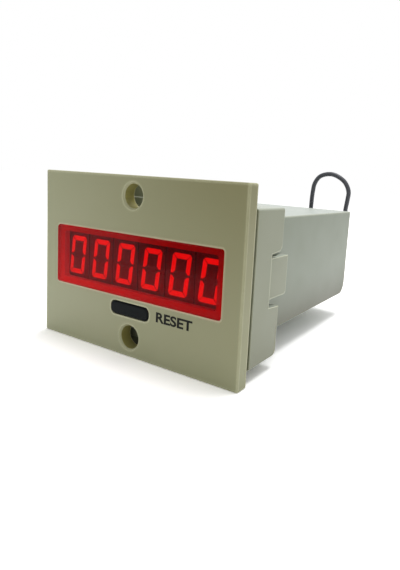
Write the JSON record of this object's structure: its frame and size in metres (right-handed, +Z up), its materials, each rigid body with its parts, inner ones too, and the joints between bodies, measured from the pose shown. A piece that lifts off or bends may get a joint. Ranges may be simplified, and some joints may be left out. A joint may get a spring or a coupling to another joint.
{
  "type": "digital panel counter",
  "caption": "Panel counter with a red digit window, a reset button, a clamp collar round its deep housing and a thin rear lead",
  "frame": {"origin": "middle of the box of the counter without its lead, at the height of the bezel's bottom edge", "axes": "+Z up, +Y from the bezel towards the rear, +X to the right as seen from the front"},
  "size_m": [0.072, 0.1316, 0.0566],
  "materials": {
    "ivory_plastic": "fine moulded texture",
    "red_window": "polished, clear red",
    "digit_face": "dull dark face",
    "digit_resin": "cast resin, lit red",
    "black_plastic": "moulded",
    "white_plastic": "moulded",
    "green_board": "solder mask over glass fibre",
    "steel": "plain",
    "tinned_metal": "bright tin plate",
    "copper_winding": "enamelled wire under clear tape",
    "blue_sleeve": "shrunk sleeve",
    "green_sleeve": "shrunk sleeve",
    "dark_lead": "soft, slightly glossy"
  },
  "bodies": {
    "counter": {"front_bezel": "ivory_plastic", "window_lens": "red_window", "housing": "ivory_plastic", "display_board": "green_board", "switch_body": "black_plastic", "board_header": "black_plastic", "main_board": "green_board", "transformer_core": "steel", "transformer_winding": "copper_winding", "reservoir_capacitor": "blue_sleeve", "output_capacitor": "blue_sleeve", "bridge_rectifier": "black_plastic", "voltage_regulator": "black_plastic", "backup_cell": "green_sleeve", "counter_chip": "black_plastic", "clock_crystal": "steel", "input_isolator_1": "black_plastic", "input_isolator_2": "black_plastic", "terminal_block": "black_plastic", "lead_gland": "black_plastic", "signal_lead": "dark_lead", "signal_lead_coil": "dark_lead", "coil_tie": "black_plastic", "lead_end": "tinned_metal", "digit_1_shell": "digit_face", "digit_1_light": "digit_resin", "clamp_plate_1": "tinned_metal", "terminal_screw_1": "steel", "digit_2_shell": "digit_face", "digit_2_light": "digit_resin", "clamp_plate_2": "tinned_metal", "terminal_screw_2": "steel", "digit_3_shell": "digit_face", "digit_3_light": "digit_resin", "clamp_plate_3": "tinned_metal", "terminal_screw_3": "steel", "digit_4_shell": "digit_face", "digit_4_light": "digit_resin", "clamp_plate_4": "tinned_metal", "terminal_screw_4": "steel", "digit_5_shell": "digit_face", "digit_5_light": "digit_resin", "clamp_plate_5": "tinned_metal", "terminal_screw_5": "steel", "digit_6_shell": "digit_face", "digit_6_light": "digit_resin", "clamp_plate_6": "tinned_metal", "terminal_screw_6": "steel"},
    "reset_button": {"reset_button": "black_plastic"},
    "switch_stem": {"switch_stem": "white_plastic"},
    "mounting_collar": {"mounting_collar": "ivory_plastic"}
  },
  "joints": [
    {"name": "reset_press", "type": "slide", "parent": "counter", "child": "reset_button", "axis": [0, 1, 0], "range_m": [0, 0.001], "stiffness_N_per_m": 600},
    {"name": "switch_press", "type": "slide", "parent": "counter", "child": "switch_stem", "axis": [0, 1, 0], "range_m": [0, 0.0012]},
    {"name": "collar_slide", "type": "slide", "parent": "counter", "child": "mounting_collar", "axis": [0, 1, 0], "range_m": [-0.0018, 0.055]}
  ],
  "couplings": [
    {"joint": "switch_press", "follows": "reset_press", "ratio": 1}
  ]
}
